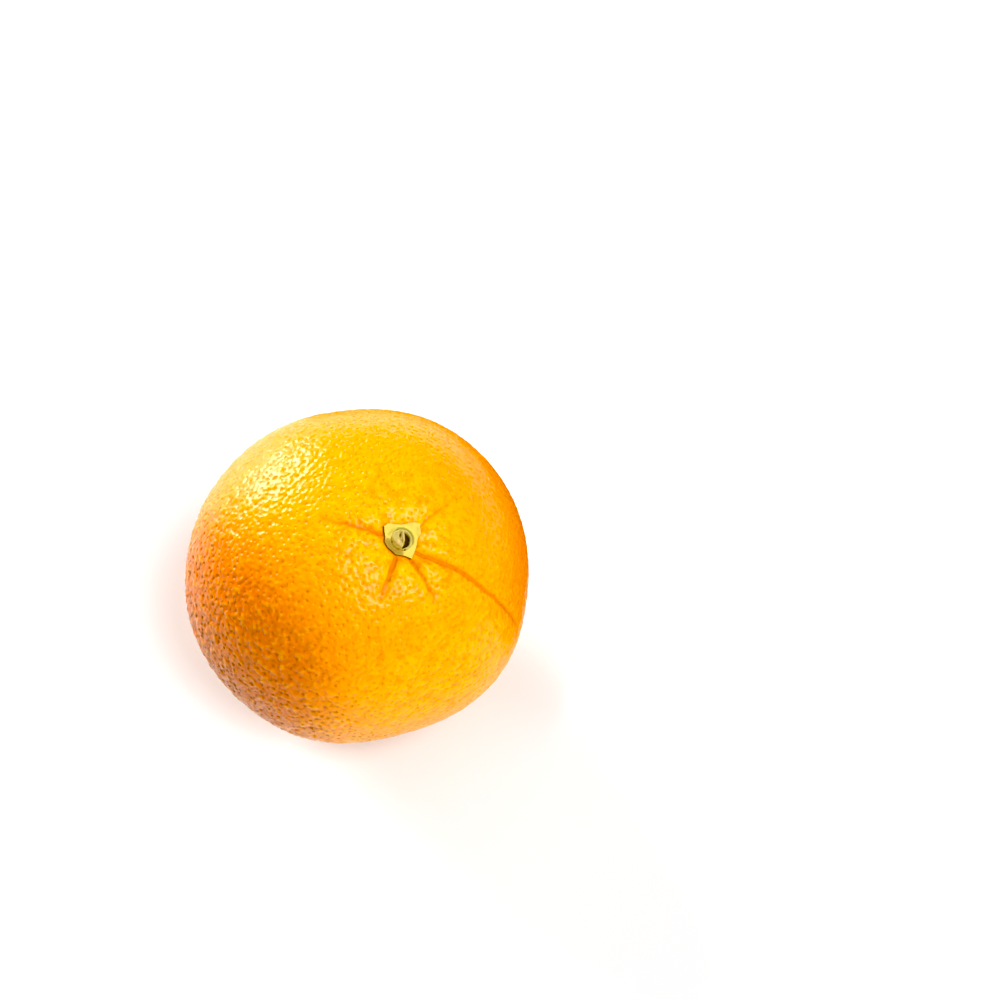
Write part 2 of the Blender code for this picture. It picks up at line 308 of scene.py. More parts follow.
def turned_from(azimuth, degrees):
    """The angle from a direction in degrees to azimuths in radians, between -pi and pi."""
    return np.remainder(azimuth - np.radians(degrees) + math.pi, 2.0 * math.pi) - math.pi


def waves(azimuth, table):
    """Sum of cosine waves, each given as its number, its size and the azimuth of one crest."""
    return sum(size * np.cos(count * turned_from(azimuth, at)) for count, size, at in table)


def noises(points):
    """Smooth noise at each of many points."""
    flat = points.reshape(-1, 3)
    found = np.fromiter((noise.noise(Vector(p)) for p in flat), float, len(flat))
    return found.reshape(points.shape[:-1])


def directions(polar, azimuth):
    """Unit vectors for polar angles and azimuths."""
    across = np.sin(polar)
    along = np.cos(polar) + 0.0 * azimuth
    return np.stack([across * np.cos(azimuth), across * np.sin(azimuth), along], -1)


def circle(radius, azimuth, height):
    """Points at a height, at a distance or at distances from the axis."""
    return np.stack([radius * np.cos(azimuth), radius * np.sin(azimuth), height + 0.0 * azimuth], -1)


# The skin of the fruit, one distance from its middle for each direction


class Skin:
    """The fruit's outer form, and where it lies on the table."""

    def __init__(self, form):
        self.radius = form.width / 2.0
        self.half_height = form.height / 2.0
        self.hollow_depth = form.hollow_depth
        self.hollow_radius = form.hollow_radius
        self.seat = self.half_height - form.hollow_depth
        self.turn = np.array(Euler((form.lean_forward, form.lean_right, 0.0)).to_matrix())
        polar, azimuth = np.meshgrid(
            np.linspace(0.01, math.pi - 0.01, 160), np.linspace(0.0, 2.0 * math.pi, 180, endpoint=False)
        )
        placed = self.points(polar, azimuth, self.navel_dome) @ self.turn.T
        flat = placed.reshape(-1, 3)
        middle = (flat.min(0) + flat.max(0)) / 2.0
        level = flat[:, 2].min() + form.rest_radius**2 / form.width
        self.middle = np.array([-middle[0], -middle[1], -level])

    def spheroid(self, polar):
        """Distance to a plain spheroid of the fruit's width and height."""
        return 1.0 / np.hypot(np.sin(polar) / self.radius, np.cos(polar) / self.half_height)

    def lumps(self, where, from_stem):
        """Uneven swellings: slow ones all over the skin, and closer ones round the stem end."""
        slow = SLOW_LUMPS[0] * noises(where * SLOW_LUMPS[1])
        close = STEM_LUMPS[0] * noises(where * STEM_LUMPS[1])
        return slow + close * (1.0 - smooth(0.5 * STEM_LUMP_REACH, 1.4 * STEM_LUMP_REACH, from_stem))

    def crease_offsets(self, distance, azimuth):
        """For each crease: distance aside from it, share of its length, depth and clearness."""
        for near, far, length, depth, clear in CREASES:
            along = distance / length
            aside = turned_from(azimuth, far + (near - far) * bell(distance, CREASE_BEND))
            inside = (along < 1.0) & (np.abs(aside) < math.pi / 2.0)
            offset = np.where(inside, distance * np.sin(aside), 1.0)
            yield offset, np.clip(along, 0.0, 1.0), depth, clear

    def crease_relief(self, distance, azimuth):
        """The creases that run out of the hollow, each a groove between two low lips."""
        total = 0.0
        for offset, along, depth, _ in self.crease_offsets(distance, azimuth):
            width = CREASE_WIDTH + CREASE_WIDENING * distance
            lips = bell(np.abs(offset) - 2.1 * width, width)
            groove = bell(offset, width) - CREASE_LIP * lips * (np.abs(offset) < 0.5)
            total = total - depth * groove * (1.0 - along) ** 0.7
        return total * smooth(SEAT_RADIUS * 0.8, SEAT_RADIUS + SEAT_BLEND, distance)

    def crease_lines(self, distance, azimuth, where):
        """The fine line along the bottom of each crease and a fainter painted shade beside it, from 0
        to 1.
        """
        wander = CREASE_WANDER * noises(where * 14.0)
        total = 0.0
        for offset, along, _, clear in self.crease_offsets(distance, azimuth):
            width = CREASE_LINE_WIDTH * (1.0 + 0.8 * along)
            # The wider, fainter bell is painted shade along the crease's groove
            share = bell(offset + wander, width) + 0.3 * bell(offset, 3.5 * width)
            total = np.maximum(total, share * clear * (1.0 - along) ** 0.4)
        return total * smooth(SEAT_RADIUS * 0.9, SEAT_RADIUS + SEAT_BLEND, distance)

    def navel_edge(self, azimuth):
        """Radius of the navel's opening, which isn't quite round."""
        return NAVEL_RADIUS * (1.0 + waves(azimuth, NAVEL_WAVES))

    def navel_lip(self, out):
        """The low rim round the navel. A place is given as its share of the opening's radius."""
        return NAVEL_LIP_HEIGHT * bell(out - NAVEL_LIP_AT, NAVEL_LIP_WIDTH)

    def navel_dome(self, out):
        """The navel as a shallow dome inside its lip, for finding the fruit's outer box."""
        return self.navel_lip(out) - NAVEL_SUNK * (1.0 - smooth(0.92, 1.06, out))

    def navel_well(self, out):
        """The navel as an open well with rounded shoulders."""
        return self.navel_lip(out) - NAVEL_WELL_DEPTH * (1.0 - smooth(0.72, 1.1, out))

    def distance(self, polar, azimuth, navel):
        """Distance from the fruit's middle to its skin in each direction."""
        where = directions(polar, azimuth)
        from_stem = polar * self.radius
        from_navel = (math.pi - polar) * self.radius
        found = self.spheroid(polar) * (1.0 + np.sin(polar) ** 2 * waves(azimuth, BULGES))
        calm = smooth(SEAT_RADIUS, SEAT_RADIUS + 3.0 * SEAT_BLEND, from_stem)
        found = found + calm * self.lumps(where, from_stem)
        found = found - self.hollow_depth * bell(from_stem, self.hollow_radius)
        found = found + self.crease_relief(from_stem, azimuth)
        found = found + navel(from_navel / self.navel_edge(azimuth))
        flat = self.seat / np.maximum(np.cos(polar), 0.5)
        keep = smooth(SEAT_RADIUS, SEAT_RADIUS + SEAT_BLEND, from_stem)
        return np.where(from_stem < SEAT_RADIUS + SEAT_BLEND, flat + keep * (found - flat), found)

    def points(self, polar, azimuth, navel):
        """Points of the skin in the fruit's own frame."""
        return directions(polar, azimuth) * self.distance(polar, azimuth, navel)[..., None]

    def place(self, points):
        """Points of the fruit's own frame, on the table."""
        return points @ self.turn.T + self.middle

    def rise(self, across, azimuth):
        """Height of the skin above the calyx's seat, at a distance from the axis."""
        polar = np.arctan2(across, self.seat)
        return self.distance(polar, azimuth, self.navel_well) * np.cos(polar) - self.seat


# Meshes


def add_mesh(name, points, faces, material, replaces=()):
    """Makes a piece of the fruit from points and faces, parents it to the fruit's body and hides what
    it replaces.
    """
    mesh = bpy.data.meshes.new(name)
    mesh.from_pydata(points.tolist(), [], [[int(corner) for corner in face] for face in faces])
    mesh.shade_smooth()
    mesh.materials.append(material)
    piece = bpy.data.objects.new(name, mesh)
    bpy.context.scene.collection.objects.link(piece)
    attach(piece, "root")
    if replaces:
        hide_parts(*replaces)
    return piece


def set_measure(mesh, name, values):
    """Keeps one number or one vector for each vertex of a mesh, for its material."""
    values = np.asarray(values, np.float32)
    kind, key = ("FLOAT", "value") if values.ndim == 1 else ("FLOAT_VECTOR", "vector")
    layer = mesh.attributes.new(name, kind, "POINT")
    layer.data.foreach_set(key, values.ravel())


def set_dimples(mesh, ways, strengths):
    """Keeps what the peel's material needs to draw the dimples."""
    set_measure(mesh, "way_to_pit", ways)
    set_measure(mesh, "pit_gap", np.linalg.norm(ways, axis=1))
    set_measure(mesh, "pit_strength", strengths)


def cube_grid(cells):
    """Unit directions, quads and bake map places of a cube's faces blown up to a sphere."""
    steps = np.linspace(-1.0, 1.0, cells + 1)
    ticks = np.tan(steps * math.pi / 4.0)
    u, v = np.meshgrid(ticks, ticks, indexing="ij")
    one = np.ones_like(u)
    sides = ((u, v, one), (v, u, -one), (one, u, v), (-one, v, u), (v, one, u), (u, -one, v))
    corners = np.arange((cells + 1) ** 2).reshape(cells + 1, cells + 1)
    quad = np.stack([corners[:-1, :-1], corners[1:, :-1], corners[1:, 1:], corners[:-1, 1:]], -1)
    quad = quad.reshape(-1, 4)
    points, quads, places = [], [], []
    for number, side in enumerate(sides):
        flat = np.stack(side, -1).reshape(-1, 3)
        points.append(flat / np.linalg.norm(flat, axis=1)[:, None])
        quads.append(quad + number * len(flat))
        chart = np.stack(np.meshgrid(steps, steps, indexing="ij"), -1).reshape(-1, 2) * 0.49 + 0.5
        places.append((chart[quad] + (number % 3, number // 3)) / (3.0, 2.0))
    points, quads, places = np.concatenate(points), np.concatenate(quads), np.concatenate(places)
    keys, first, back = np.unique(np.round(points, 6), axis=0, return_index=True, return_inverse=True)
    return points[first], back.reshape(-1)[quads], places


def ring_grid(loops, cap_first=False, cap_last=False):
    """Quads that join loops of points, with a middle point at either end where asked."""
    count = len(loops[0])
    rows = len(loops)
    points = [np.concatenate(loops)]
    here = np.arange(count)
    there = (here + 1) % count
    quads = []
    for row in range(rows - 1):
        low, high = row * count, (row + 1) * count
        quads += np.stack([low + here, high + here, high + there, low + there], -1).tolist()
    total = rows * count
    if cap_first:
        points.append(loops[0].mean(0)[None])
        quads += np.stack([here, there, np.full(count, total)], -1).tolist()
        total += 1
    if cap_last:
        points.append(loops[-1].mean(0)[None])
        last = (rows - 1) * count
        quads += np.stack([last + there, last + here, np.full(count, total)], -1).tolist()
    return np.concatenate(points), quads


# Dimples


def scatter(spacing):
    """Unit directions all round the fruit, no two closer than spacing, in an uneven pattern."""
    generator = np.random.default_rng(PIT_SEED)
    count = int(7.0 * 4.0 / spacing**2)
    cloud = generator.normal(size=(count, 3))
    cloud /= np.linalg.norm(cloud, axis=1)[:, None]
    tree = kdtree.KDTree(count)
    for index, point in enumerate(cloud):
        tree.insert(point, index)
    tree.balance()
    taken = np.zeros(count, bool)
    kept = []
    for index, point in enumerate(cloud):
        if taken[index]:
            continue
        kept.append(index)
        for _, near, _ in tree.find_range(point, spacing):
            taken[near] = True
    return cloud[kept], generator


def dimple(where, look, skin):
    """The way from each direction to its nearest dimple, in dimple widths, and its strength."""
    centres, generator = scatter(look.pit_spacing / skin.radius)
    widths = look.pit_width * generator.uniform(0.75, 1.25, len(centres))
    strengths = generator.uniform(0.45, 1.0, len(centres))
    tree = kdtree.KDTree(len(centres))
    for index, centre in enumerate(centres):
        tree.insert(centre, index)
    tree.balance()
    nearest = np.fromiter((tree.find(point)[1] for point in where), int, len(where))
    ways = (centres[nearest] - where) * (skin.radius / widths[nearest])[:, None]
    return ways, strengths[nearest]


# Shader maths


class Signal:
    """A number, colour or vector on its way through a material's nodes."""

    def __init__(self, graph, socket):
        self.graph = graph
        self.socket = socket

    def maths(self, operation, *others):
        """One step of arithmetic on this and other values."""
        values = dict(enumerate((self, *others)))
        return self.graph.node("ShaderNodeMath", {"operation": operation}, values)

    def __add__(self, other):
        return self.maths("ADD", other)

    def __radd__(self, other):
        return self.maths("ADD", other)

    def __sub__(self, other):
        return self.maths("SUBTRACT", other)

    def __rsub__(self, other):
        return self.graph.node("ShaderNodeMath", {"operation": "SUBTRACT"}, {0: other, 1: self})

    def __mul__(self, other):
        return self.maths("MULTIPLY", other)

    def __rmul__(self, other):
        return self.maths("MULTIPLY", other)

    def ramp(self, low, high):
        """0 where this is below low, 1 where it is above high, and even between."""
        return self.graph.node(
            "ShaderNodeMapRange",
            {"interpolation_type": "SMOOTHSTEP"},
            {"Value": self, "From Min": low, "From Max": high},
        )

    def mix(self, first, second):
        """First colour where this is 0, and second where it is 1."""
        return self.graph.node(
            "ShaderNodeMix", {"data_type": "RGBA"}, {0: self, 6: first, 7: second}, output=2
        )


class Graph:
    """The nodes of one material."""

    def __init__(self, name):
        self.material = bpy.data.materials.new(name)
        self.material.use_nodes = True
        self.tree = self.material.node_tree
        self.shader = self.tree.nodes["Principled BSDF"]

    def feed(self, node, inputs):
        """Sets or links the sockets of a node, by name or by number."""
        for key, value in inputs.items():
            socket = node.inputs[key]
            if isinstance(value, Signal):
                self.tree.links.new(value.socket, socket)
            elif socket.type == "RGBA":
                socket.default_value = (*value[:3], 1.0)
            else:
                socket.default_value = value

    def node(self, kind, settings=None, inputs=None, output=0):
        """Adds a node with its settings and inputs, and returns one of its outputs."""
        made = self.tree.nodes.new(kind)
        for key, value in (settings or {}).items():
            setattr(made, key, value)
        self.feed(made, inputs or {})
        return Signal(self, made.outputs[output])

    def place(self):
        """Position on the piece, in metres."""
        return self.node("ShaderNodeTexCoord", output=3)

    def measure(self, name):
        """One of the numbers kept on the mesh."""
        return self.node("ShaderNodeAttribute", {"attribute_name": name}, output=2)

    def length_of(self, name):
        """Length of one of the vectors kept on the mesh."""
        vector = self.node("ShaderNodeAttribute", {"attribute_name": name}, output=1)
        return self.node("ShaderNodeVectorMath", {"operation": "LENGTH"}, {0: vector}, output=1)

    def noise(self, size, detail=2.0, roughness=0.5):
        """Noise with features of about that size in metres, from 0 to 1."""
        return self.node(
            "ShaderNodeTexNoise",
            {},
            {
                "Vector": self.place(),
                "Scale": 1.0 / size,
                "Detail": detail,
                "Roughness": roughness,
                "Distortion": 0.0,
            },
        )

    def bump(self, height, distance):
        """A normal tilted by a height signal, whose 0 to 1 stands for that distance."""
        return self.node("ShaderNodeBump", {}, {"Height": height, "Distance": distance})


def peel_material(look):
    """Waxy orange peel in two tones, with lumps, dimples, creases, grain and painted light and shade.
    """
    graph = Graph("orange_peel")
    astray = (graph.measure("pit_gap") - 0.85).maths("MAXIMUM", 0.0)
    gap = graph.length_of("way_to_pit") + astray * 2.0
    strength = graph.measure("pit_strength")
    pit = (1.0 - gap.ramp(0.0, 1.25)) * strength
    crease = graph.measure("crease")
    tone = graph.measure("tone")
    gland_and_shade = graph.measure("gland_and_shade")
    mottle = graph.noise(9.0 * MM, detail=3.0)
    ripple = graph.noise(2.4 * MM, detail=3.0)
    grain = graph.noise(0.55 * MM, detail=2.0)
    side = (tone + (mottle - 0.5) * 0.4 + (ripple - 0.5) * 0.25).ramp(0.0, 1.0)
    colour = side.mix(look.bright, look.deep)
    yellow_and_sheen = graph.measure("yellow_and_sheen")
    colour = ((ripple + (grain - 0.5) * 0.5).ramp(0.30, 0.62) * yellow_and_sheen).mix(colour, look.lump_and_sheen)
    # Darker mottling on the deep side, partly its own mottle and partly painted shade of small ripples
    colour = (ripple.ramp(0.45, 0.75) * tone * 0.35).mix(colour, look.gland_and_shade)
    # Painted light and shade on the pebbles: lighter on their crests, darker in the hollows between
    relief = graph.measure("relief")
    colour = (relief.ramp(0.0, 0.7) * 0.36).mix(colour, look.lump_and_sheen)
    colour = (relief.ramp(0.0, -0.8) * 0.28).mix(colour, look.gland_and_shade)
    # Dimples take this colour, partly their own darker glands and partly painted shade, strongest on
    # the shaded dimple side
    spots = gland_and_shade * strength.ramp(0.45, 0.70) * 0.90 + 0.10
    wide_pit = (1.0 - gap.ramp(0.1, 1.6)) * strength
    colour = (wide_pit.ramp(0.15, 0.60) * spots).mix(colour, look.gland_and_shade)
    # The crease colour paints the thin crease lines, and painted shade along their grooves and round
    # the calyx
    colour = (crease.ramp(0.1, 0.7) * 0.85).mix(colour, look.crease)
    # Painted shadow along the calyx's edge
    colour = graph.measure("shadow_line").mix(colour, look.gland_and_shade)
    height = grain * 0.35 - pit * (gland_and_shade * 0.8 + 1.0)
    graph.feed(
        graph.shader,
        {
            "Base Color": colour,
            "Roughness": pit * 0.15 + crease * 0.25 + yellow_and_sheen * 0.06 + mottle * 0.06 + look.roughness,
            "Normal": graph.bump(height, 0.15 * MM),
            "Subsurface Weight": 0.08,
            "Subsurface Radius": (1.0, 0.35, 0.05),
            "Subsurface Scale": 0.6 * MM,
            "IOR": 1.45,
            "Specular IOR Level": 0.3,
        },
    )
    return graph.material


def sepal_material(look):
    """Dry, pale sepals with faint fibres, green-brown by the stub with painted shade, browner on one
    side, dark brown on the wall.
    """
    graph = Graph("orange_sepals")
    stub_shade = graph.measure("stub_shade")
    browner = graph.measure("browner")
    wall = graph.measure("wall")
    blotch = graph.noise(1.3 * MM, detail=4.0, roughness=0.6)
    fibre = graph.noise(0.3 * MM, detail=3.0, roughness=0.65)
    # Green-brown by the stub, partly the sepals' own green and partly painted shade
    shade = (stub_shade.ramp(0.1, 1.0) * 0.9 + (blotch - 0.5) * 0.6).ramp(0.10, 0.90)
    colour = shade.mix(look.sepal, look.sepal_shade)
    # Browner on the lower left side
    colour = (browner + (blotch - 0.5) * 0.8 + (fibre - 0.5) * 0.4).ramp(0.3, 0.9).mix(colour, look.dry)
    colour = (wall + (fibre - 0.5) * 0.5).ramp(0.25, 0.8).mix(colour, look.wall)
    graph.feed(
        graph.shader,
        {
            "Base Color": colour,
            "Roughness": 0.55 + blotch * 0.15,
            "Normal": graph.bump(fibre + blotch * 0.8, 0.18 * MM),
            "Specular IOR Level": 0.3,
        },
    )
    return graph.material


def stub_material(look):
    """Dry wood: a pale ring in green-brown bark with painted shade, torn fibres, painted shade in the
    hollow.
    """
    graph = Graph("orange_stub")
    hollow = graph.measure("hollow")
    core = graph.measure("core")
    bark_and_shade = graph.measure("bark_and_shade")
    browner = graph.measure("browner")
    blotch = graph.noise(0.7 * MM, detail=4.0, roughness=0.65)
    fibre = graph.noise(0.22 * MM, detail=3.0, roughness=0.6)
    colour = (core + (fibre - 0.5) * 0.5).ramp(0.2, 0.8).mix(look.wood, look.core)
    colour = (browner + (blotch - 0.5) * 0.6).ramp(0.2, 1.0).mix(colour, look.dry)
    # Bark round the rim, partly its own colour and partly painted shade on one side
    colour = (bark_and_shade + (blotch - 0.5) * 0.6).ramp(0.2, 1.0).mix(colour, look.bark_and_shade)
    # Painted shade in the hollow, the slot and the small pits
    colour = (hollow + (fibre - 0.5) * 0.3).ramp(0.2, 0.75).mix(colour, look.stub_hollow_shade)
    graph.feed(
        graph.shader,
        {
            "Base Color": colour,
            "Roughness": 0.7 + blotch * 0.15,
            "Normal": graph.bump(fibre + blotch, 0.2 * MM),
            "Specular IOR Level": 0.2,
        },
    )
    return graph.material


def backdrop_material():
    """Pale, evenly lit backdrop."""
    graph = Graph("studio_backdrop")
    graph.feed(
        graph.shader,
        {
            "Base Color": (0.0, 0.0, 0.0),
            "Roughness": 1.0,
            "Emission Color": (1.0, 1.0, 1.0),
            "Emission Strength": 1.0,
        },
    )
    return graph.material


def matte_material(name, colour):
    """A matte surface of one colour."""
    graph = Graph(name)
    graph.feed(graph.shader, {"Base Color": colour, "Roughness": 0.9, "Specular IOR Level": 0.1})
    return graph.material


# Operators, one for each piece and one for the stage


class OrangeAddPeel(bpy.types.Operator):
    """Add the dimpled peel, from the stem end to the opening of the navel"""

    bl_idname = "orange.add_peel"
    bl_label = "Add peel"

    def execute(self, context):
        skin = Skin(context.scene.orange_form)
        look = context.scene.orange_peel
        where, quads, places = cube_grid(PEEL_CELLS)
        even = np.arccos(np.clip(where[:, 2], -1.0, 1.0))
        polar = even - PEEL_CROWDING * np.sin(even)
        azimuth = np.arctan2(where[:, 1], where[:, 0])
        points = skin.points(polar, azimuth, skin.navel_well)
        from_stem = polar * skin.radius
        lines = skin.crease_lines(from_stem, azimuth, directions(polar, azimuth))
        placed = skin.place(points)
        placed[:, 2] = np.maximum(placed[:, 2], 0.0)
        piece = add_mesh("peel", placed, quads, peel_material(look), ("fruit",))
        mesh = piece.data
        normals = np.zeros(len(placed) * 3, np.float32)
        mesh.vertex_normals.foreach_get("vector", normals)
        normals = normals.reshape(-1, 3)
        ways, strengths = dimple(directions(polar, azimuth), look, skin)
        strengths = strengths * (1.0 - bell(from_stem, PIT_FADE))
        gaps = np.linalg.norm(ways, axis=1)
        sunk = look.pit_depth * strengths * (1.0 - smooth(0.0, 1.5, gaps))
        outward = (placed - skin.middle) / skin.radius
        # The deep side is partly the peel's own deeper orange and partly painted shade
        tone = smooth(0.48, 0.98, outward @ DEEP_AND_SHADED_SIDE)
        # Where the dimples are darker, partly their own colour and partly painted shade; they are also
        # a little deeper there
        gland_and_shade = smooth(0.15, 0.75, outward @ SHADED_DIMPLE_SIDE)
        bumpy = 0.9 + 0.35 * smooth(-0.3, 0.6, -outward[:, 0]) + 0.6 * np.maximum(tone, gland_and_shade)
        relief = noises(points / PEBBLES[1])
        swells = noises(points / SWELLS[1] + 5.0)
        pebbles = bumpy * (PEBBLES[0] * relief + SWELLS[0] * swells)
        sunk = sunk * (1.0 + 0.7 * gland_and_shade) - pebbles + lines * CREASE_LINE_DEPTH
        placed = placed - normals * sunk[:, None]
        placed[:, 2] = np.maximum(placed[:, 2], 0.0)
        mesh.vertices.foreach_set("co", placed.astype(np.float32).ravel())
        set_dimples(mesh, ways, strengths)
        past_calyx = np.maximum(from_stem - calyx_edge(azimuth), 0.0)
        # Painted shade of the hollow round the calyx, a deeper orange kept with the creases
        calyx_hollow_shade = 0.6 * bell(past_calyx, CALYX_SHADE_WIDTH)
        upper = smooth(0.0, 0.6, np.sin(azimuth))
        set_measure(mesh, "crease", np.maximum(np.clip(lines, 0.0, 1.0), calyx_hollow_shade))
        # A painted shadow along the calyx's edge, fainter on its upper side
        calyx_shadow_line = 0.9 * bell(past_calyx, CALYX_SHADOW_LINE_WIDTH) * (1.0 - 0.75 * upper)
        set_measure(mesh, "shadow_line", calyx_shadow_line)
        # Yellower on one side, partly the peel's own tone and partly painted sheen, and round the stem
        # end
        yellow_and_sheen = 0.65 * smooth(0.45, 1.0, outward @ YELLOW_AND_SHEEN_SIDE)
        set_measure(mesh, "yellow_and_sheen", np.maximum(yellow_and_sheen, bell(from_stem, STEM_LUMP_REACH)))
        # Painted light on the pebbles' crests and painted shade between them, fainter on the calm side
        lively = 1.0 - 0.65 * smooth(0.2, 0.9, outward @ CALM_SIDE)
        set_measure(mesh, "relief", (relief + 0.45 * swells) * lively)
        set_measure(mesh, "tone", tone)
        set_measure(mesh, "gland_and_shade", gland_and_shade)
        bake = mesh.uv_layers.new(name=BAKE_MAP)
        bake.data.foreach_set("uv", places.reshape(-1, 2).astype(np.float32).ravel())
        mesh.update()
        return {"FINISHED"}


class OrangeAddNavel(bpy.types.Operator):
    """Add the small second fruit whose lobes fill the navel's opening"""

    bl_idname = "orange.add_navel"
    bl_label = "Add navel"

    def execute(self, context):
        skin = Skin(context.scene.orange_form)
        look = context.scene.orange_peel
        azimuth = np.linspace(0.0, 2.0 * math.pi, 160, endpoint=False)
        loops = []
        for out in np.linspace(0.02, 0.98, 46):
            across = out * 0.97 * skin.navel_edge(azimuth)
            flat = circle(across, azimuth, 0.0)
            bend = np.stack([noises(flat / (3.0 * MM) + k * 7.0) for k in range(3)], -1)
            bent = flat / NAVEL_LOBE_SIZE + 0.35 * bend
            cleft = np.array([noise.voronoi(Vector(p))[0][:2] for p in bent])
            lobe = np.clip((cleft[:, 1] - cleft[:, 0]) / 0.45, 0.0, 1.0) ** 0.5
            dome = (NAVEL_DOME_HEIGHT + 0.9 * MM) * math.sqrt(max(0.0, 1.0 - out * out))
            fine = NAVEL_GRAIN[0] * noises(flat / NAVEL_GRAIN[1])
            height = dome - 1.9 * MM + NAVEL_CLEFT_DEPTH * (lobe - 1.0) + fine
            polar = math.pi - across / skin.radius
            base = skin.spheroid(polar)
            reach = base - NAVEL_SUNK + height - 0.6 * MM * smooth(0.85, 1.0, out)
            loops.append(directions(polar, azimuth) * reach[:, None])
        points, faces = ring_grid(loops, cap_first=True)
        piece = add_mesh(
            "navel_fruit", skin.place(points), [f[::-1] for f in faces], peel_material(look)
        )
        where = points / np.linalg.norm(points, axis=1)[:, None]
        set_dimples(piece.data, *dimple(where, look, skin))
        set_measure(piece.data, "crease", np.full(len(points), 0.2))
        set_measure(piece.data, "tone", np.full(len(points), 0.6))
        set_measure(piece.data, "gland_and_shade", np.full(len(points), 0.5))
        return {"FINISHED"}


def calyx_edge(azimuth):
    """Distance from the calyx's middle to the straight edges that join its corners."""
    edge = np.zeros_like(azimuth)
    for (at, near), (to, far) in zip(CALYX_CORNERS, CALYX_CORNERS[1:] + CALYX_CORNERS[:1]):
        span = math.radians((to - at) % 360.0)
        past = np.remainder(azimuth - math.radians(at), 2.0 * math.pi)
        straight = near * far * math.sin(span) / (near * np.sin(past) + far * np.sin(span - past))
        edge = np.where(past <= span, straight, edge)
    return edge


class OrangeAddCalyx(bpy.types.Operator):
    """Add the star-shaped calyx round the stem stub"""

    bl_idname = "orange.add_calyx"
    bl_label = "Add calyx"

    def execute(self, context):
        skin = Skin(context.scene.orange_form)
        look = context.scene.orange_stem
        azimuth = np.linspace(0.0, 2.0 * math.pi, 240, endpoint=False)
        compass = np.stack([np.cos(azimuth), np.sin(azimuth)], -1)
        flat = np.concatenate([compass, 0.0 * compass[:, :1]], 1)
        edge = calyx_edge(azimuth) * (1.0 + 0.02 * noises(flat * 9.0) + 0.012 * noises(flat * 31.0))
        hole = STUB_RADIUS - 0.15 * MM
        loops, stub_shades, walls, brown_shares = [], [], [], []
        # The green-brown side, partly painted shade round the stub
        shaded_green_side = 0.25 + 0.75 * smooth(-0.2, 0.7, compass @ SHADED_GREEN_SIDE)
        brown_side = smooth(0.35, 0.85, compass @ BROWN_SIDE)

        def add_loop(share, sink, wall):
            """One ring of the calyx, by its share of the way out, below the upper face by sink."""
            across = hole + share * (edge - hole)
            rise = np.maximum(skin.rise(across, azimuth), 0.0)
            tip = smooth(CALYX_DISC_RADIUS, CALYX_DISC_RADIUS + 2.0 * MM, across)
            middle = 1.0 - smooth(0.0, 0.9 * MM, across - hole)
            thick = (0.72 + 0.45 * middle + 0.12 * tip) * MM
            bumps = CALYX_BUMPS[0] * noises(flat * across[:, None] / CALYX_BUMPS[1])
            top = rise + 0.15 * MM * tip + thick + bumps
            height = top - sink if sink < 1.0 * MM else rise - 0.2 * MM
            upright = (skin.seat + height)[:, None]
            loops.append(np.concatenate([compass * across[:, None], upright], 1))
            stub_shades.append(middle * shaded_green_side)
            walls.append(np.full_like(azimuth, wall))
            brown_shares.append(brown_side)

        for share in np.linspace(0.0, 0.97, 24):
            add_loop(share, 0.0, 0.0)
        rim = ((0.985, 0.02, 0.1), (1.0, 0.10, 0.6), (1.0, 0.35, 1.0), (0.98, 9.0, 1.0))
        for share, sink, wall in rim:
            add_loop(share, sink * MM, wall)
        add_loop(0.0, 9.0 * MM, 1.0)
        points, faces = ring_grid(loops)
        count = len(azimuth)
        last = (len(loops) - 1) * count
        here = np.arange(count)
        there = (here + 1) % count
        faces += np.stack([last + here, here, there, last + there], -1).tolist()
        material = sepal_material(look)
        piece = add_mesh("calyx_star", skin.place(points), faces, material, ("calyx",))
        set_measure(piece.data, "stub_shade", np.concatenate(stub_shades))
        set_measure(piece.data, "wall", np.concatenate(walls))
        set_measure(piece.data, "browner", np.concatenate(brown_shares))
        return {"FINISHED"}


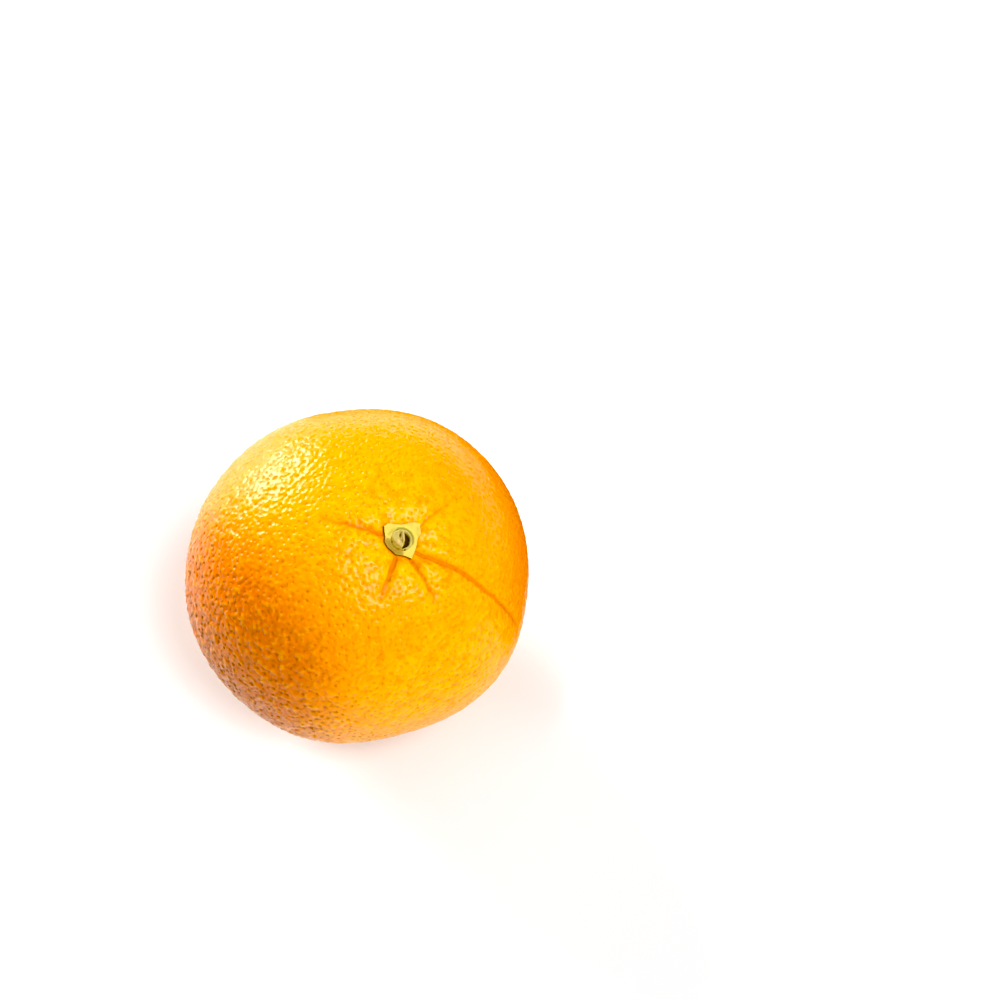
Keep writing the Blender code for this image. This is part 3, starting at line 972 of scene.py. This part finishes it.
class OrangeAddStub(bpy.types.Operator):
    """Add the woody stub of the stem, with the torn core in its hollow"""

    bl_idname = "orange.add_stub"
    bl_label = "Add stem stub"

    def execute(self, context):
        skin = Skin(context.scene.orange_form)
        look = context.scene.orange_stem
        azimuth = np.linspace(0.0, 2.0 * math.pi, 200, endpoint=False)
        compass = np.stack([np.cos(azimuth), np.sin(azimuth), 0.0 * azimuth], -1)
        rim_height = STUB_RIM[0] + STUB_RIM[1] * noises(compass * 2.3)
        ragged_round = 1.0 + 0.03 * noises(compass * 4.0)
        loops, hollows, cores, bark_and_shade_shares, brown_shares = [], [], [], [], []
        # The green-brown side of the stub's rim, partly painted shade
        shaded_green_side = 0.2 + 0.8 * smooth(-0.2, 0.7, compass[:, :2] @ SHADED_GREEN_SIDE)
        for share in np.linspace(0.01, 1.0, 64):
            flat = compass * share * ragged_round[:, None] * STUB_RADIUS
            x, y = flat[:, 0] / MM, flat[:, 1] / MM
            ragged = 0.14 * noises(flat / (0.5 * MM))
            tear = 0.80 - 0.16 * y * y + ragged
            beyond = smooth(1.68, 1.88, np.hypot(x - 0.05, y + 0.1) + ragged)
            crescent = smooth(-0.12, 0.12, x - tear) * (1.0 - beyond)
            slot = bell(np.hypot((x + 0.42) / 0.17, (y - 1.05) / 0.48), 1.0)
            knots = bell(np.hypot(x + 2.15, y + 0.85), 0.17) + bell(np.hypot(x - 0.9, y + 2.15), 0.20)
            ridge = bell(x - 0.35 + 0.25 * np.maximum(y - 0.4, 0.0), 0.26) * smooth(-1.0, 0.3, y)
            fibres = np.maximum(ridge, 0.8 * bell(np.hypot((x + 0.75) / 0.9, (y + 0.75) / 1.0), 1.0))
            inside = 1.0 - smooth(1.65, 2.05, np.hypot(x, y))
            fine = 0.08 * noises(flat / (0.33 * MM)) + 0.14 * noises(flat / (1.1 * MM))
            edge = 0.5 * smooth(0.84, 1.0, share)
            height = rim_height - 0.40 * inside + 0.45 * fibres * inside + fine - edge
            height = np.maximum(height - 1.1 * crescent - 0.8 * slot - 0.4 * knots, 0.25)
            loops.append(np.stack([flat[:, 0], flat[:, 1], skin.seat + height * MM], -1))
            hollows.append(np.clip(crescent + slot + knots, 0.0, 1.0))
            cores.append(inside * fibres)
            bark_and_shade_shares.append(smooth(0.78, 0.94, share) * shaded_green_side)
            brown_shares.append(smooth(0.7, 1.7, BROWN_SIDE[0] * x + BROWN_SIDE[1] * y))
        loops.append(compass * STUB_RADIUS + (0.0, 0.0, skin.seat - 0.1 * MM))
        points, faces = ring_grid(loops, cap_first=True, cap_last=True)
        material = stub_material(look)
        piece = add_mesh("stub", skin.place(points), faces, material, ("stem_stub",))
        for name, values in (("hollow", hollows), ("core", cores), ("bark_and_shade", bark_and_shade_shares), ("browner", brown_shares)):
            caps = [[values[0][0]], [values[-1][0]]]
            set_measure(piece.data, name, np.concatenate([*values, values[-1], *caps]))
        return {"FINISHED"}


def aim(thing, place, target):
    """Puts a camera or a light at a place and turns it to a target."""
    thing.location = place
    thing.rotation_euler = (Vector(target) - Vector(place)).to_track_quat("-Z", "Y").to_euler()


def add_light(name, direction, spread, strength, shines=True):
    """A distant soft light, as wide in the sky as its spread in degrees. A fill light doesn't shine."""
    lamp = bpy.data.lights.new(name, "SUN")
    lamp.color = LAMP_COLOUR
    lamp.energy = strength
    lamp.angle = math.radians(spread)
    light = bpy.data.objects.new(name, lamp)
    light.visible_glossy = shines
    bpy.context.scene.collection.objects.link(light)
    aim(light, Vector(direction), (0.0, 0.0, 0.0))


def add_stage_mesh(name, points, faces, material):
    """A mesh of the stage, which isn't part of the fruit."""
    mesh = bpy.data.meshes.new(name)
    mesh.from_pydata(points, [], faces)
    mesh.materials.append(material)
    piece = bpy.data.objects.new(name, mesh)
    bpy.context.scene.collection.objects.link(piece)
    return piece


def add_backdrop():
    """A pale wall all round, which is only seen, and neither lights nor shades the fruit."""
    turns = np.linspace(0.0, 2.0 * math.pi, 96, endpoint=False)
    points, faces = ring_grid([circle(BACKDROP_RADIUS, turns, height) for height in BACKDROP_HEIGHTS])
    wall = add_stage_mesh("studio_backdrop", points, faces, backdrop_material())
    wall.visible_diffuse = False
    wall.visible_glossy = False
    wall.visible_transmission = False
    wall.visible_shadow = False


def add_card(look):
    """A low, deep orange card on the right, which keeps the white of the floor off that side."""
    turns = np.radians(np.linspace(*CARD_SPAN, 48))
    points = np.concatenate([circle(CARD_RADIUS, turns, height) for height in CARD_HEIGHTS])
    count = len(turns)
    faces = [(i, i + 1, count + i + 1, count + i) for i in range(count - 1)]
    material = matte_material("studio_card", look.card)
    card = add_stage_mesh("studio_card", points.tolist(), faces, material)
    card.visible_camera = False
    card.visible_shadow = False


def studio_world():
    """A dim studio round the lamps."""
    world = bpy.data.worlds.new("studio_world")
    world.use_nodes = True
    sky = world.node_tree.nodes["Background"]
    sky.inputs["Color"].default_value = (1.0, 1.0, 1.0, 1.0)
    sky.inputs["Strength"].default_value = WORLD_STRENGTH
    return world


class OrangeAddStage(bpy.types.Operator):
    """Add the floor, the lights and the camera"""

    bl_idname = "orange.add_stage"
    bl_label = "Add stage"

    def execute(self, context):
        scene = context.scene
        look = scene.orange_stage
        half = FLOOR_SIZE / 2.0
        corners = [(-half, -half, 0.0), (half, -half, 0.0), (half, half, 0.0), (-half, half, 0.0)]
        material = matte_material("studio_floor", look.floor)
        add_stage_mesh("studio_floor", corners, [(0, 1, 2, 3)], material)
        add_backdrop()
        add_card(look)
        add_light("back_light", BACK_LIGHT_FROM, 31.0, look.key_strength)
        add_light("front_light", FRONT_LIGHT_FROM, 28.0, look.front_strength * 0.8)
        add_light("front_fill", FRONT_LIGHT_FROM, 80.0, look.front_strength * 0.2, False)
        add_light("top_fill", TOP_LIGHT_FROM, 60.0, look.fill_strength, False)
        add_light("right_fill", RIGHT_LIGHT_FROM, 60.0, look.fill_strength * 1.5, False)
        scene.world = studio_world()
        scene.view_settings.view_transform = "Standard"
        scene.view_settings.use_curve_mapping = True
        scene.view_settings.curve_mapping.black_level = BLACK_LEVEL
        scene.view_settings.curve_mapping.update()

        lens = bpy.data.cameras.new("camera")
        lens.sensor_width = 36.0
        lens.lens = look.lens
        lens.clip_start = 0.01
        camera = bpy.data.objects.new("camera", lens)
        scene.collection.objects.link(camera)
        camera.location = CAMERA_PLACE
        camera.rotation_euler = (CAMERA_TILT, 0.0, 0.0)
        scene.camera = camera
        return {"FINISHED"}


class OrangePanel(bpy.types.Panel):
    """Lists the fruit's sizes, its looks and the buttons that build its pieces"""

    bl_idname = "VIEW3D_PT_orange"
    bl_label = "Navel orange"
    bl_space_type = "VIEW_3D"
    bl_region_type = "UI"
    bl_category = "Orange"

    def draw(self, context):
        for name in GROUPS:
            group = getattr(context.scene, name)
            box = self.layout.box()
            for key in group.bl_rna.properties.keys():
                if key not in ("name", "rna_type"):
                    box.prop(group, key)
        for operator in OPERATORS:
            self.layout.operator(operator.bl_idname)


GROUPS = {
    "orange_form": OrangeForm,
    "orange_peel": OrangePeel,
    "orange_stem": OrangeStem,
    "orange_stage": OrangeStage,
}
OPERATORS = (OrangeAddPeel, OrangeAddNavel, OrangeAddCalyx, OrangeAddStub, OrangeAddStage)


def register():
    """Makes the classes known, and puts the settings on the scene."""
    for made in (*GROUPS.values(), *OPERATORS, OrangePanel):
        bpy.utils.register_class(made)
    for name, group in GROUPS.items():
        setattr(bpy.types.Scene, name, PointerProperty(type=group))


def unregister():
    """Takes back what register did."""
    for name in GROUPS:
        delattr(bpy.types.Scene, name)
    for made in reversed((*GROUPS.values(), *OPERATORS, OrangePanel)):
        bpy.utils.unregister_class(made)


def main():
    """Builds the fruit and its stage."""
    register()
    bpy.ops.orange.add_peel()
    bpy.ops.orange.add_navel()
    bpy.ops.orange.add_calyx()
    bpy.ops.orange.add_stub()
    bpy.ops.orange.add_stage()


if __name__ == "__main__":
    main()
